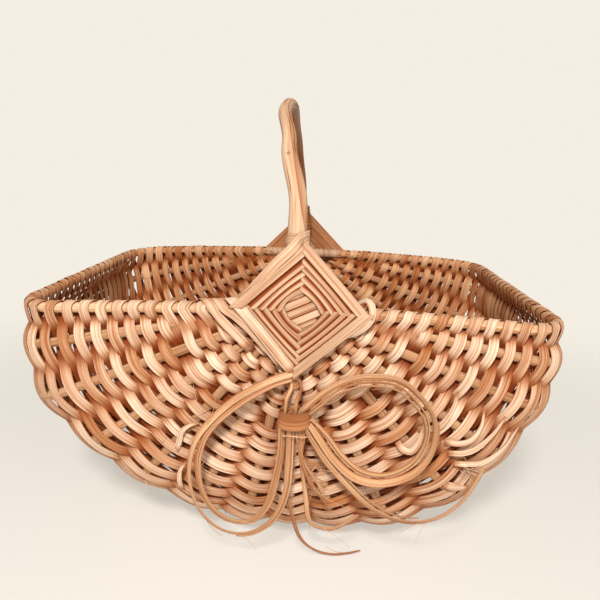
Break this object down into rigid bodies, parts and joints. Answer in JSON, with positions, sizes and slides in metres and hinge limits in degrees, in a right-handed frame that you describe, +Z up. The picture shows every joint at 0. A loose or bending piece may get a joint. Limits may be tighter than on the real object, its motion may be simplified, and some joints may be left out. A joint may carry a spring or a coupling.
{
  "type": "garden trug",
  "caption": "Ribbed oblong garden trug woven from flat reed over round ribs, with a round bottom, lashed eyes, a fixed hoop handle and a reed bow in front.",
  "frame": {"origin": "middle of the keel's flat underside, on the surface that the basket stands on", "axes": "+X along the basket's length to the right as seen from the bow, +Y from the front eye with the bow to the back eye, +Z up"},
  "size_m": [0.4388, 0.336, 0.3721],
  "materials": {
    "rim_rod": "peeled round reed, satin",
    "handle_rod": "smooth peeled wood, satin",
    "rib_rod": "peeled round reed, satin",
    "weaver_reed": "flat reed with fine lengthwise grain, matt",
    "eye_reed": "flat reed, pale, satin",
    "binding_cord": "twisted reed cord, matt brown",
    "bow_reed": "flat reed, golden brown, satin"
  },
  "bodies": {
    "root": {"rim_hoop": "rim_rod", "handle_and_keel_hoop": "handle_rod", "rib_left_1": "rib_rod", "rib_left_2": "rib_rod", "rib_left_3": "rib_rod", "rib_left_4": "rib_rod", "rib_left_5": "rib_rod", "rib_left_6": "rib_rod", "rib_right_1": "rib_rod", "rib_right_2": "rib_rod", "rib_right_3": "rib_rod", "rib_right_4": "rib_rod", "rib_right_5": "rib_rod", "rib_right_6": "rib_rod", "woven_panel_left_1": "weaver_reed", "woven_panel_left_2": "weaver_reed", "woven_panel_left_3": "weaver_reed", "woven_panel_left_4": "weaver_reed", "woven_panel_left_5": "weaver_reed", "woven_panel_left_6": "weaver_reed", "woven_panel_left_7": "weaver_reed", "woven_panel_right_1": "weaver_reed", "woven_panel_right_2": "weaver_reed", "woven_panel_right_3": "weaver_reed", "woven_panel_right_4": "weaver_reed", "woven_panel_right_5": "weaver_reed", "woven_panel_right_6": "weaver_reed", "woven_panel_right_7": "weaver_reed", "woven_throat_left_front": "weaver_reed", "woven_throat_left_back": "weaver_reed", "woven_throat_right_front": "weaver_reed", "woven_throat_right_back": "weaver_reed", "gods_eye_front": "eye_reed", "gods_eye_back": "eye_reed", "front_foot_wrap": "eye_reed", "back_foot_binding": "binding_cord", "bow_neck_left": "bow_reed", "bow_neck_right": "bow_reed", "bow_loop_left_outer": "bow_reed", "bow_loop_left_inner": "bow_reed", "bow_loop_right_outer": "bow_reed", "bow_loop_right_inner": "bow_reed", "bow_tail_right": "bow_reed", "bow_tail_short": "bow_reed", "bow_tail_under": "bow_reed", "bow_tail_front": "bow_reed", "bow_knot": "bow_reed"}
  },
  "joints": []
}
